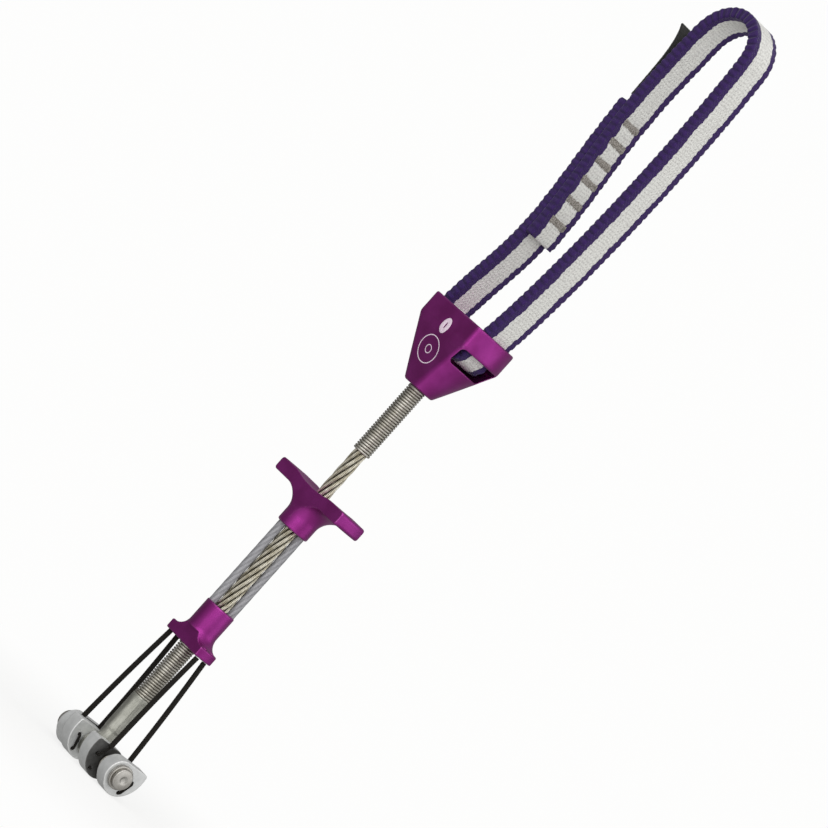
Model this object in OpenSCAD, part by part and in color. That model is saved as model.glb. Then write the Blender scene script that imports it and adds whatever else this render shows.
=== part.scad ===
// Small spring-loaded camming device on a single flexible stem, millimetres.
// It hangs from its sling: +Z runs along the stem from the cam head to the sling,
// X lies along the axle and Y across the crack. The origin is on the stem axis,
// level with the lowest point of the cam lobes.

/* [Cam head] */
// Height of the axle's centre above the lowest point of the lobes
axle_z = 5.55; // [5.52:0.01:5.7]
// Radius of the axle
axle_r = 2.0; // [1.8:0.05:2.1]
// Distance from the stem axis to the outer face of the axle's heads
axle_half = 16.8; // [16.4:0.1:17.2]
// Radius of the axle's formed heads
head_r = 3.1; // [2.8:0.1:3.3]
// Thickness of the axle's formed heads
head_t = 1.3; // [1:0.1:1.5]
// Radius of the washers under the axle's heads
washer_r = 3.6; // [3.4:0.1:4]
// Width of each cam lobe along the axle
lobe_w = 4.4; // [4:0.1:4.6]
// Distance from the stem axis to the near face of the inner lobes
inner_lobe_x = 3.05; // [3:0.05:3.2]
// Distance from the stem axis to the near face of the outer lobes
outer_lobe_x = 9.9; // [9.8:0.1:10.2]
// Lobe radius at the angle where the cam curve is closest to its lowest point
cam_r = 5.8; // [5.7:0.05:5.8]
// Cam angle, the constant angle of the logarithmic spiral
cam_angle = 13.75; // [12:0.25:15]
// Radius of the lobe's round back
lobe_back_r = 4.5; // [4.3:0.1:4.8]
// Running clearance between the axle and a lobe's bore
running_gap = 0.04; // [0.02:0.01:0.08]

/* [Stem] */
// Radius of the steel stem cable
cable_r = 2.0; // [1.8:0.05:2]
// Radius of the swaged terminal's barrel
barrel_r = 2.8; // [2.7:0.05:2.9]
// Top of the barrel above the axle
barrel_top = 18.9; // [18:0.1:20]
// Outer radius of the coils on the stem
coil_r = 2.7; // [2.6:0.05:2.75]
// Wire pitch of the coils on the stem
coil_pitch = 0.757; // [0.7:0.001:0.85]
// Number of turns in the lower coil
lower_turns = 33; // [32:1:34]
// Number of turns in the upper coil
upper_turns = 30; // [29:1:30]

/* [Trigger] */
// Underside of the collar above the axle
collar_z = 37.2; // [37:0.1:38]
// Height of the collar's flange
collar_flange_t = 2.9; // [2.5:0.1:3.2]
// Height of the collar with its sleeve
collar_h = 13.5; // [13:0.1:14]
// Radius of the collar's flange
collar_flange_r = 8.9; // [8.8:0.1:9.4]
// Radius of the collar's sleeve
collar_sleeve_r = 4.6; // [4.5:0.1:4.9]
// Half the distance across the collar's flats
collar_flat = 3.4; // [3.3:0.1:3.8]
// Underside of the finger bar's hub above the axle
bar_z = 78.8; // [78:0.1:80]
// Height of the finger bar
bar_h = 13.1; // [12.5:0.1:14]
// Half length of the finger bar
bar_half = 17.5; // [17.3:0.1:18.5]
// Half the distance across the finger bar's flats
bar_flat = 5.05; // [4.6:0.05:5.2]
// Thickness of the finger bar's arms
bar_arm_t = 3.9; // [3.5:0.1:4.5]
// Radius of the coated trigger cables
trigger_cable_r = 1.1; // [1:0.05:1.1]
// Distance from the stem axis to each trigger cable
trigger_cable_x = 3.2; // [3.2:0.05:3.3]
// Direction of the pair of trigger cables around the stem
trigger_cable_turn = 60; // [40:1:90]

/* [Cords] */
// Radius of the sheathed cords
cord_r = 0.75; // [0.6:0.05:0.8]
// Radius of the bare cord under the sheath
thread_r = 0.35; // [0.3:0.05:0.35]
// Distance of the collar's cord holes from the stem axis along X
ear_x = 7.6; // [7.5:0.1:7.7]
// Distance of the collar's cord holes from the stem axis along Y
ear_y = 1.55; // [1.5:0.05:1.7]
// Place of an outer lobe's cord along X at its lower end
outer_cord_x = 9.0; // [8.9:0.05:9]
// Place of an inner lobe's cord along X at its lower end
inner_cord_x = 8.3; // [8.3:0.05:8.4]
// Place of the sheath's lower end along Y
cord_end_y = 3.9; // [3.9:0.1:4.3]
// Place of the sheath's lower end above the axle
cord_end_z = 4.0; // [3.8:0.1:4.4]

/* [Thumb block] */
// Underside of the block above the axle
block_z = 129.2; // [129:0.1:130]
// Height of the block
block_h = 23.3; // [23:0.1:24]
// Radius of the block's lower end
block_foot_r = 4.7; // [4.6:0.1:5]
// Radius of the block's upper end
block_r = 14.0; // [13.9:0.1:14.2]
// Height of the cone under the block's straight rim
block_cone_h = 16.4; // [16.3:0.1:17]
// Half thickness between the flats at the block's lower end
block_flat_low = 4.1; // [4:0.05:4.3]
// Half thickness between the flats beside the straight rim
block_flat_high = 8.3; // [8.2:0.1:8.5]

/* [Sling] */
// Width of the webbing
web_w = 10.0; // [9.5:0.1:10.2]
// Thickness of one layer of webbing
web_t = 2.8; // [2.6:0.1:2.8]
// Distance of the strands from the stem axis where they leave the block
strand_x = 10.6; // [10.5:0.05:10.7]
// Clear height between the block and the free loop, which leaves room for its swing
swing_gap = 4.2; // [4.2:0.1:4.5]
// Height of the top bend's centre above the axle
bend_z = 250.1; // [245:0.1:255]
// Sideways place of the top bend's centre
bend_x = 3.6; // [0:0.1:4]
// Radius of the webbing's centre line in the top bend
bend_r = 10.9; // [10:0.1:11.5]
// Number of bar tacks that sew the overlap
tack_count = 6; // [4:1:8]

/* [Hidden] */
$fn = 64;

touch = 0.05;                    // gap left where two pieces lie against each other
hole_1 = [5.1, 0.5];             // upper cord hole of a lobe, [Y, Z] from the axle
hole_2 = [3.7, -3.7];            // lower cord hole of a lobe
cord_hole_r = 0.5;
elbow_r = thread_r + 0.05;       // the bare cord where it turns a corner
tip_r = 0.85;                    // rounding of the lobe's tip
tip_angle = 24;                  // where the cam curve ends and the tip's rounding begins
back_angle = -72 + ln(lobe_back_r / cam_r) / tan(cam_angle) * 180 / PI;
gap_mid = (inner_lobe_x + lobe_w + outer_lobe_x) / 2;
gap_w = outer_lobe_x - inner_lobe_x - lobe_w;
spring_in_r = 2.45;
spring_out_r = 3.05;
spacer_r = 2.35;
eye_r = 3.9;
eye_half = 2.9;
neck_r = 2.65;                   // terminal between the eye and the barrel, clear of the cord loops
neck_top = 7;
coil_in_r = cable_r + 0.02;
collar_bore_r = 2.85;
bar_bore_r = cable_r + 0.08;
socket_depth = 4;
crimp_h = 2.4;
block_top = block_z + block_h;
slot_low = 11.2;                 // sling passage, above the block's underside
slot_high = 16.3;
slot_half = web_w / 2 + 0.3;
passage_wall = 0.6;              // wall left between the passage and the flats
saddle_x = 5.8;                  // centre of the round corners that the webbing bends over
saddle_z = 16.6;
saddle_r = 1.6;
swage_h = 10.4;
swage_r = 2.9;
overlap_low = 180;               // inner end of the webbing, above the axle
overlap_high = 224;              // outer end of the webbing
layer_step = web_t / 2 + touch;
steps = 14;                      // straight stretches that a Bezier curve is drawn with

// --- helpers -------------------------------------------------------------

function bez(p, t) =
    pow(1 - t, 3) * p[0] + 3 * t * pow(1 - t, 2) * p[1]
    + 3 * t * t * (1 - t) * p[2] + pow(t, 3) * p[3];

function bez_run(p, t) =
    3 * pow(1 - t, 2) * (p[1] - p[0]) + 6 * t * (1 - t) * (p[2] - p[1])
    + 3 * t * t * (p[3] - p[2]);

function left_of(p, t) = let (d = bez_run(p, t)) [-d[1], d[0]] / norm(d);

function beside(p, d, steps) = [for (i = [0:steps]) bez(p, i / steps) + d * left_of(p, i / steps)];

function backwards(list) = [for (i = [len(list) - 1:-1:0]) list[i]];

// A strip along a chain of Bezier curves, as a 2D outline. low and high are its two
// sides' distances from each curve, positive to the left of the curve's run.
module strip(curves, low, high) {
    last = len(curves) - 1;
    polygon(concat(
        [for (i = [0:last]) each beside(curves[i], high[i], steps)],
        backwards([for (i = [0:last]) each beside(curves[i], low[i], steps)])
    ));
}

module across_y(w) {
    rotate([90, 0, 0])
        linear_extrude(w, center = true)
            children();
}

module along_x(x0, x1) {
    translate([x0, 0, 0])
        rotate([90, 0, 90])
            linear_extrude(x1 - x0)
                children();
}

module both_sides() {
    children();
    mirror([1, 0, 0])
        children();
}

module at_axle(z = 0) {
    translate([0, 0, axle_z + z])
        children();
}

module rod(from, to, r) {
    run = to - from;
    translate(from)
        rotate([0, acos(run[2] / norm(run)), atan2(run[1], run[0])])
            cylinder(h = norm(run), r = r);
}

// --- cam head ------------------------------------------------------------

function cam_point(a) = cam_r * exp(tan(cam_angle) * (a + 72) * PI / 180) * [cos(a), sin(a)];

module lobe_outline() {
    tip = cam_point(tip_angle) - [tip_r, 0];
    polygon(concat(
        [for (a = [back_angle:(tip_angle - back_angle) / 40:tip_angle + 0.01]) cam_point(a)],
        [for (a = [15:15:90]) [tip[0] + tip_r * cos(a), lobe_back_r - tip_r + tip_r * sin(a)]],
        [for (a = [90:6:360 + back_angle - 3]) lobe_back_r * [cos(a), sin(a)]]
    ));
}

// Lobe between x0 and x1 with its tip towards +Y, or towards -Y when side is -1.
module lobe(x0, side) {
    at_axle()
        scale([1, side, 1])
            difference() {
                along_x(x0, x0 + lobe_w)
                    lobe_outline();
                along_x(x0 - 1, x0 + lobe_w + 1)
                    circle(r = axle_r + running_gap);
                for (h = [hole_1, hole_2])
                    along_x(x0 - 1, x0 + lobe_w + 1)
                        translate(h)
                            circle(r = cord_hole_r, $fn = 24);
            }
}

// Bare cord through both holes of a lobe. It crosses the face at x_face and ends at x_gap.
module loop(x_face, x_gap, side) {
    at_axle()
        scale([1, side, 1]) {
            for (h = [hole_1, hole_2]) {
                rod([x_face, h[0], h[1]], [x_gap, h[0], h[1]], thread_r, $fn = 20);
                translate([x_face, h[0], h[1]])
                    sphere(r = elbow_r, $fn = 20);
            }
            rod([x_face, hole_1[0], hole_1[1]], [x_face, hole_2[0], hole_2[1]], thread_r, $fn = 20);
        }
}

outer_face = outer_lobe_x + lobe_w + thread_r + touch;
inner_face = inner_lobe_x - thread_r - touch;
outer_gap = outer_lobe_x - 0.3;
inner_gap = inner_lobe_x + lobe_w + 0.3;

module axle() {
    color("silver")
        at_axle()
            rotate([0, 90, 0]) {
                cylinder(h = 2 * axle_half, r = axle_r, center = true);
                for (s = [-1, 1])
                    translate([0, 0, s * (axle_half - head_t / 2)])
                        cylinder(h = head_t, r = head_r, center = true);
            }
}

module end_washers() {
    low = outer_lobe_x + lobe_w + touch;
    color("gray")
        at_axle()
            both_sides()
                along_x(low, axle_half - head_t)
                    difference() {
                        circle(r = washer_r);
                        circle(r = axle_r);
                    }
}

module lobe_spacers() {
    color("dimgray")
        at_axle()
            both_sides()
                along_x(gap_mid - gap_w / 2 + touch, gap_mid + gap_w / 2 - touch)
                    difference() {
                        circle(r = spacer_r);
                        circle(r = axle_r);
                    }
}

module torsion_springs() {
    wire = spring_out_r - spring_in_r;
    color("gray")
        at_axle()
            both_sides()
                translate([gap_mid, 0, 0])
                    rotate([0, 90, 0])
                        rotate_extrude()
                            for (i = [-1:1])
                                translate([(spring_in_r + spring_out_r) / 2, i * (wire + touch)])
                                    circle(d = wire, $fn = 20);
}

module cam_lobe_a() color("darkgray") lobe(-outer_lobe_x - lobe_w, 1);
module cam_lobe_b() color("darkgray") lobe(-inner_lobe_x - lobe_w, -1);
module cam_lobe_c() color("darkgray") lobe(inner_lobe_x, -1);
module cam_lobe_d() color("darkgray") lobe(outer_lobe_x, 1);

module cord_loop_a() color([0.1, 0.1, 0.1]) loop(-outer_face, -outer_gap, 1);
module cord_loop_b() color([0.1, 0.1, 0.1]) loop(-inner_face, -inner_gap, -1);
module cord_loop_c() color([0.1, 0.1, 0.1]) loop(inner_face, inner_gap, -1);
module cord_loop_d() color([0.1, 0.1, 0.1]) loop(outer_face, outer_gap, 1);

// --- cords ---------------------------------------------------------------

// The lower end of a cord. The outer lobes' cords, which lie towards +Y, stand farther out.
function cord_end(sx, sy) = [sx * (sy > 0 ? outer_cord_x : inner_cord_x), sy * cord_end_y, cord_end_z];

module sheath(sx, sy) {
    color([0.12, 0.11, 0.1])
        at_axle()
            rod([sx * ear_x, sy * ear_y, collar_z - 3 * touch], cord_end(sx, sy), cord_r, $fn = 32);
}

module thread(sx, sy) {
    start = cord_end(sx, sy) - [0, 0, touch];
    finish = [start[0], sy * hole_1[0], hole_1[1]];
    color([0.1, 0.1, 0.1])
        at_axle() {
            rod(start, finish, thread_r, $fn = 20);
            translate(finish)
                sphere(r = elbow_r, $fn = 20);
        }
}

module cord_sheath_a() sheath(-1, 1);
module cord_sheath_b() sheath(-1, -1);
module cord_sheath_c() sheath(1, -1);
module cord_sheath_d() sheath(1, 1);
module cord_thread_a() thread(-1, 1);
module cord_thread_b() thread(-1, -1);
module cord_thread_c() thread(1, -1);
module cord_thread_d() thread(1, 1);

// --- stem ----------------------------------------------------------------

cable_low = 6;
cable_high = block_z + swage_h - 0.4;

module stem_terminal() {
    color("silver")
        at_axle()
            difference() {
                union() {
                    along_x(-eye_half, eye_half)
                        circle(r = eye_r);
                    cylinder(h = neck_top + 1, r = neck_r);
                    translate([0, 0, neck_top])
                        cylinder(h = barrel_top - neck_top, r = barrel_r);
                }
                along_x(-eye_half - 1, eye_half + 1)
                    circle(r = axle_r);
                translate([0, 0, cable_low])
                    cylinder(h = barrel_top, r = cable_r);
            }
}

module stem_cable() {
    color("tan")
        at_axle(cable_low)
            cylinder(h = cable_high - cable_low, r = cable_r);
}

// A close-wound coil, as one ridge per turn.
module coil(turns) {
    wire = coil_r - coil_in_r;
    ridge = [for (i = [0:turns - 1]) each [
        [coil_r - wire / 4, i * coil_pitch + coil_pitch * 0.08],
        [coil_r, i * coil_pitch + coil_pitch * 0.32],
        [coil_r, i * coil_pitch + coil_pitch * 0.68],
        [coil_r - wire / 4, i * coil_pitch + coil_pitch * 0.92]
    ]];
    color("gray")
        rotate_extrude()
            polygon(concat(ridge, [[coil_in_r, turns * coil_pitch - 0.06], [coil_in_r, 0.06]]));
}

module lower_coil() at_axle(barrel_top) coil(lower_turns);
module upper_coil() at_axle(block_z - upper_turns * coil_pitch) coil(upper_turns);

// --- trigger -------------------------------------------------------------

function arc(cx, cz, r, a0, a1, steps) =
    [for (i = [0:steps]) [cx + r * cos(a0 + (a1 - a0) * i / steps), cz + r * sin(a0 + (a1 - a0) * i / steps)]];

module trigger_cable_places() {
    for (a = [trigger_cable_turn, trigger_cable_turn + 180])
        rotate(a)
            translate([trigger_cable_x, 0, 0])
                children();
}

module ear_places() {
    for (sx = [-1, 1])
        for (sy = [-1, 1])
            translate([sx * ear_x, sy * ear_y, 0])
                children();
}

module trigger_collar() {
    flare_r = 3.4;
    edge = 0.5;
    profile = concat(
        [[collar_bore_r, 0], [collar_flange_r - edge, 0]],
        arc(collar_flange_r - edge, edge, edge, -60, 0, 2),
        arc(collar_flange_r - edge, collar_flange_t - edge, edge, 0, 90, 3),
        arc(collar_sleeve_r + flare_r, collar_flange_t + flare_r, flare_r, 270, 180, 8),
        arc(collar_sleeve_r - edge, collar_h - edge, edge, 0, 90, 3),
        [[collar_bore_r, collar_h]]
    );
    color([0.5, 0.13, 0.45])
        at_axle(collar_z)
            difference() {
                rotate_extrude()
                    polygon(profile);
                for (s = [-1, 1])
                    translate([-collar_flange_r - 1, s * (collar_flat + 5) - 5, -1])
                        cube([2 * collar_flange_r + 2, 10, collar_flange_t + flare_r * 0.62 + 1]);
                ear_places()
                    translate([0, 0, -1])
                        cylinder(h = collar_flange_t + 6, r = cord_r, $fn = 32);
                translate([0, 0, collar_h - socket_depth])
                    trigger_cable_places()
                        cylinder(h = socket_depth + 1, r = trigger_cable_r, $fn = 32);
            }
}

module cord_anchors() {
    color([0.12, 0.11, 0.1])
        at_axle(collar_z + touch)
            ear_places()
                cylinder(h = collar_flange_t - 0.6, r = cord_r, $fn = 32);
}

module trigger_cable(turn) {
    low = collar_z + collar_h - socket_depth;
    color([0.55, 0.55, 0.58])
        at_axle()
            rotate(turn)
                translate([trigger_cable_x, 0, low])
                    cylinder(h = bar_z + socket_depth - low, r = trigger_cable_r, $fn = 32);
}

module trigger_cable_near() trigger_cable(trigger_cable_turn + 180);
module trigger_cable_far() trigger_cable(trigger_cable_turn);

module cable_crimps() {
    color("silver")
        at_axle(bar_z + socket_depth)
            trigger_cable_places()
                cylinder(h = crimp_h, r = trigger_cable_r, $fn = 32);
}

module finger_bar() {
    hub_r = 5;
    fillet_r = 5.4;
    edge = 0.7;
    dish_r = 10.15;
    dish_depth = 1.24;
    dish_ball_r = (dish_r * dish_r + dish_depth * dish_depth) / (2 * dish_depth);
    arm_low = bar_h - bar_arm_t;
    profile = concat(
        [[bar_bore_r, 0], [hub_r - 0.5, 0], [hub_r, 0.5]],
        arc(hub_r + fillet_r, arm_low - fillet_r, fillet_r, 180, 90, 10),
        arc(bar_half - edge, arm_low + edge, edge, -90, 0, 4),
        arc(bar_half - edge, bar_h - edge, edge, 0, 90, 4),
        [[bar_bore_r, bar_h]]
    );
    color([0.5, 0.13, 0.45])
        at_axle(bar_z)
            difference() {
                rotate_extrude()
                    polygon(profile);
                translate([0, 0, bar_h - dish_depth + dish_ball_r])
                    sphere(r = dish_ball_r, $fn = 200);
                for (s = [-1, 1])
                    translate([-bar_half - 1, s * (bar_flat + 10) - 10, -1])
                        cube([2 * bar_half + 2, 20, bar_h + 2]);
                translate([0, 0, -1])
                    trigger_cable_places()
                        cylinder(h = socket_depth + crimp_h + 1, r = trigger_cable_r, $fn = 32);
            }
}

// --- thumb block ---------------------------------------------------------

// Half the thickness between the flats at a height above the block's underside.
function flat_at(h) =
    block_flat_low + (block_flat_high - block_flat_low) * min(h, block_cone_h) / block_cone_h;

// Upright outline across Y between two heights, inside the flats by a wall.
module between_flats(low, high, wall) {
    bend = min(high, block_cone_h);
    side = [[flat_at(low) - wall, low], [flat_at(bend) - wall, bend], [flat_at(high) - wall, high]];
    polygon(concat(side, [for (i = [2:-1:0]) [-side[i][0], side[i][1]]]));
}

// One side's way for the webbing, from the passage up to the block's top.
module strand_way() {
    play = 0.15;
    foot = saddle_x + saddle_r;
    head = strand_x - web_t / 2;
    wide = web_t + 2 * play;
    polygon([
        [foot, saddle_z], [head - play, block_h], [head - play, block_h + 1],
        [head - play + wide, block_h + 1], [head - play + wide, block_h],
        [foot + wide, saddle_z], [foot + wide, slot_high - 1], [foot, slot_high - 1]
    ]);
}

module thumb_block() {
    edge = 0.6;
    profile = concat(
        [[0, 0], [block_foot_r - edge / 2, 0], [block_foot_r, edge / 2]],
        [[block_r, block_cone_h]],
        arc(block_r - edge, block_h - edge, edge, 0, 90, 4),
        [[0, block_h]]
    );
    bar = concat(
        arc(-saddle_x, saddle_z, saddle_r, 180, 270, 6),
        arc(saddle_x, saddle_z, saddle_r, 270, 360, 6),
        [[saddle_x + saddle_r, slot_high + 1], [-saddle_x - saddle_r, slot_high + 1]]
    );
    color([0.5, 0.13, 0.45])
        at_axle(block_z)
            difference() {
                intersection() {
                    rotate_extrude()
                        polygon(profile);
                    along_x(-block_r - 1, block_r + 1)
                        between_flats(0, block_h, 0);
                }
                translate([0, 0, -1])
                    cylinder(h = swage_h + 1, r = swage_r);
                difference() {
                    along_x(-block_r - 1, block_r + 1)
                        between_flats(slot_low, slot_high, passage_wall);
                    across_y(2 * block_r)
                        polygon(bar);
                }
                across_y(2 * slot_half) {
                    strand_way();
                    mirror([1, 0])
                        strand_way();
                }
            }
}

module cable_swage() {
    color("silver")
        at_axle(block_z + 0.3)
            difference() {
                cylinder(h = swage_h - 0.4, r = swage_r);
                translate([0, 0, -1])
                    cylinder(h = swage_h - 0.7 + 1, r = cable_r);
            }
}

module sling_saddle() {
    near = saddle_r + touch;
    far = near + web_t;
    in_x = strand_x - web_t / 2;
    out_x = strand_x + web_t / 2;
    color([0.45, 0.35, 0.6])
        at_axle(block_z)
            across_y(web_w)
                polygon(concat(
                    [[-in_x, block_h], [-out_x, block_h]],
                    arc(-saddle_x, saddle_z, far, 180, 270, 8),
                    arc(saddle_x, saddle_z, far, 270, 360, 8),
                    [[out_x, block_h], [in_x, block_h]],
                    arc(saddle_x, saddle_z, near, 360, 270, 5),
                    arc(-saddle_x, saddle_z, near, 270, 180, 5)
                ));
}

// --- sling ---------------------------------------------------------------

loop_low = block_top + swing_gap;
right_lean = 5.4;                // the strand's slope where it meets the top bend
left_lean = 3;

// Right-hand strand, from the block up to the top bend.
right_end = [bend_x + bend_r * cos(right_lean), bend_z + bend_r * sin(right_lean)];
right_curve = [
    [strand_x + 0.9, loop_low], [16.3, 184], right_end - 25 * [-sin(right_lean), cos(right_lean)], right_end
];
// Seam of the overlap, the surface between its two layers.
seam_low = [-4.9, overlap_low];
seam_curve = [seam_low, seam_low + [0.3, 14], [-8.2, overlap_high - 18], [-9.3, overlap_high]];
// Inner layer's way from the overlap up to the top bend.
left_end = [bend_x - bend_r * cos(left_lean), bend_z + bend_r * sin(left_lean)];
function unit(v) = v / norm(v);
crossing_start = bez(seam_curve, 1) - layer_step * left_of(seam_curve, 1);
crossing_curve = [
    crossing_start, crossing_start + 9 * unit(bez_run(seam_curve, 1)),
    left_end - 9 * [sin(left_lean), cos(left_lean)], left_end
];
// Outer layer's way from the block up to the overlap.
return_end = seam_low + layer_step * left_of(seam_curve, 0);
return_curve = [
    [-strand_x + 0.7, loop_low], [-strand_x + 1.8, loop_low + 8],
    return_end - 8 * unit(bez_run(seam_curve, 0)), return_end
];

// The strip's own outline has its inner bend cut a little short, and the true cylinder
// of the bend is then cut out of it.
module sling_loop() {
    uncut = 0.4;
    turn_in = 6;
    clear = [0.05, 0];
    in_r = bend_r - web_t / 2;
    far_side = 180 - left_lean;
    color([0.75, 0.75, 0.8])
        at_axle()
            across_y(web_w)
                difference() {
                    polygon(concat(
                        beside(right_curve, -web_t / 2, steps),
                        arc(bend_x, bend_z, bend_r + web_t / 2, right_lean + turn_in, far_side - turn_in, 24),
                        backwards(beside(crossing_curve, web_t / 2, steps)),
                        backwards(beside(seam_curve, -touch, steps)),
                        beside(seam_curve, -web_t - touch, steps),
                        [for (v = beside(crossing_curve, -web_t / 2, steps)) v - clear],
                        arc(bend_x, bend_z, in_r - uncut, far_side - turn_in, right_lean + turn_in, 16),
                        [for (v = backwards(beside(right_curve, web_t / 2, steps))) v + clear]
                    ));
                    translate([bend_x, bend_z])
                        circle(r = in_r, $fn = 96);
                }
}

module sling_return() {
    color([0.45, 0.35, 0.6])
        at_axle()
            across_y(web_w)
                strip([return_curve, seam_curve], [-web_t / 2, touch], [web_t / 2, web_t + touch]);
}

module bar_tacks() {
    tack_w = 5.9;
    tack_h = 2.1;
    tack_out = 0.25;             // how far the thread stands out of the webbing
    color([0.55, 0.53, 0.5])
        at_axle()
            for (i = [0:tack_count - 1]) {
                share = i / (tack_count - 1);
                t = 0.165 + 0.74 * share + 0.135 * share * (1 - share);
                run = bez_run(seam_curve, t);
                place = bez(seam_curve, t);
                translate([place[0], 0, place[1]])
                    rotate([0, atan2(run[0], run[1]), 0])
                        cube([2 * (web_t + touch + tack_out), tack_w, tack_h], center = true);
            }
}

module label_tab() {
    tab_w = 9.4;
    tab_t = 0.5;
    tab = [
        crossing_start + [-1.65, 2], crossing_start + [-2.15, 13],
        left_end - [2.3, 6.7], left_end - [6.1, 1.2]
    ];
    color([0.1, 0.1, 0.1])
        at_axle()
            across_y(tab_w)
                strip([tab], [0], [tab_t]);
}

axle();
end_washers();
lobe_spacers();
torsion_springs();
cam_lobe_a();
cam_lobe_b();
cam_lobe_c();
cam_lobe_d();
cord_loop_a();
cord_loop_b();
cord_loop_c();
cord_loop_d();
cord_sheath_a();
cord_sheath_b();
cord_sheath_c();
cord_sheath_d();
cord_thread_a();
cord_thread_b();
cord_thread_c();
cord_thread_d();
stem_terminal();
stem_cable();
lower_coil();
upper_coil();
trigger_collar();
cord_anchors();
trigger_cable_near();
trigger_cable_far();
cable_crimps();
finger_bar();
thumb_block();
cable_swage();
sling_saddle();
sling_loop();
sling_return();
bar_tacks();
label_tab();
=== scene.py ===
"""Looks for a small spring-loaded camming device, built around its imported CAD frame.

Sizes are in millimetres; names that end in _m or _M and values given to Blender are in metres.
Heights are above the axle's centre, or inside the block, bar and collar above their undersides.
X lies along the axle, Z along the stem and Y across the crack.
"""
import math

import bpy
import numpy as np
import openvdb as vdb
from mathutils import Matrix, Vector


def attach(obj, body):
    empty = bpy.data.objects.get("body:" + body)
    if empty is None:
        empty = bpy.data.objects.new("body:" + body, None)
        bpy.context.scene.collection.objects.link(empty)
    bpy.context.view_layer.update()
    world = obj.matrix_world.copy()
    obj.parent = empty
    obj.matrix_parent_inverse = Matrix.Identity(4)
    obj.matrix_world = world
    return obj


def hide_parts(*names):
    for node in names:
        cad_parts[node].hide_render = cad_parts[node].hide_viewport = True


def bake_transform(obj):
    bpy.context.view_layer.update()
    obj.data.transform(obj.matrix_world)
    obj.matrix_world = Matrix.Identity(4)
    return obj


MM = 0.001
AXLE_Z = 5.55
COARSE = 1.0
rng = np.random.default_rng(7)

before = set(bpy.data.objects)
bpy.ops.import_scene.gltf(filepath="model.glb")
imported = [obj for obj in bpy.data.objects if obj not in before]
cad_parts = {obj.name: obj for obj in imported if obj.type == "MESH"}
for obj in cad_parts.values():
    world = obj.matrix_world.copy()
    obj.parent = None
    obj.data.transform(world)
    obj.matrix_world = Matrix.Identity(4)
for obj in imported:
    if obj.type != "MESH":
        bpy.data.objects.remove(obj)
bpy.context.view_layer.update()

# ---------------- sizes

SIDES = {"a": (-1, 1), "b": (-1, -1), "c": (1, -1), "d": (1, 1)}  # lobe -> sign along X, Y
LOBE_W = 4.4
INNER_X = 3.05
OUTER_X = 9.9
LOBE_X = {"a": -OUTER_X - LOBE_W / 2, "b": -INNER_X - LOBE_W / 2,
          "c": INNER_X + LOBE_W / 2, "d": OUTER_X + LOBE_W / 2}
GAP_X = (INNER_X + LOBE_W + OUTER_X) / 2
AXLE_HALF = 16.8
AXLE_R = 2.0
RIVET_T = 1.3
WASHER_R = 3.6
HOLE_1 = (5.1, 0.5)
HOLE_2 = (3.7, -3.7)
CORD_HOLE_R = 0.52
THREAD_R = 0.35

BARREL_TOP = 18.9
TERMINAL_EYE_R = 3.9
TERMINAL_HALF = 2.9
COIL_PITCH = 0.757
BLOCK_Z = 129.2
BLOCK_H = 23.3
BLOCK_TOP = BLOCK_Z + BLOCK_H
BLOCK_R = 14.0
BLOCK_FOOT_R = 4.7
CONE_H = 16.4
BLOCK_FLAT = (4.1, 8.3)                         # half thickness between the flats, low and high
BLOCK_LEAN = (BLOCK_FLAT[1] - BLOCK_FLAT[0]) / CONE_H
SADDLE = (5.8, 16.6, 1.6)                       # x, height and radius of the corners webbing bends over
COLLAR_Z = 37.2
COLLAR_H = 13.5
COLLAR_R = 8.9                                   # out to the ends of the ears
BAR_Z = 78.8
BAR_H = 13.1
BAR_R = 17.5
STEM_BORE_R = 2.85
EAR = (7.6, 1.55)                               # x and y of each cord's hole
CABLE_TURN = math.radians(60)
CABLE_OUT = 3.2
CABLE_PLACE = (CABLE_OUT * math.cos(CABLE_TURN), CABLE_OUT * math.sin(CABLE_TURN))
CABLE_R = 1.17

STRAND_X = 10.6
WEB_W = 10.0
WEB_T = 2.8
WEB_PLUMP = 0.25                                 # how much thicker the cloth is than its flat strip
LOOP_LOW = BLOCK_TOP + 4.2
BEND = np.array([3.6, 250.1])
BEND_R = 10.9
OVERLAP = (180.0, 224.0)
LAYER_STEP = WEB_T / 2 + 0.05                   # from the seam to the middle of either layer
PICOT = 2.05                                    # length of one woven bump along the edge
# How far up the seam each bar tack lies; they lie a little closer together towards the top.
TACK_T = [0.165 + 0.74 * k + 0.135 * k * (1 - k) for k in np.linspace(0, 1, 6)]

# ---------------- mesh helpers


def unit(v):
    return v / np.maximum(np.linalg.norm(v, axis=-1, keepdims=True), 1e-12)


def smoothstep(t):
    t = np.clip(t, 0.0, 1.0)
    return t * t * (3.0 - 2.0 * t)


def skin(rings, closed=False):
    """Mesh over an array of rings, (rings, points, 3). An open run gets a fan at each end."""
    n, m, _ = rings.shape
    i = np.arange(n if closed else n - 1)[:, None]
    j = np.arange(m)[None]
    up = (i + 1) % n
    quads = np.stack([i * m + j, i * m + (j + 1) % m, up * m + (j + 1) % m, up * m + j], -1)
    quads = quads.reshape(-1, 4)
    verts = rings.reshape(-1, 3)
    if closed:
        return verts, [quads]
    j = np.arange(m)
    low = np.stack([np.full(m, n * m), (j + 1) % m, j], -1)
    top = (n - 1) * m
    high = np.stack([np.full(m, n * m + 1), top + j, top + (j + 1) % m], -1)
    verts = np.vstack([verts, rings[0].mean(0), rings[-1].mean(0)])
    return verts, [quads, np.vstack([low, high])]


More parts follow.
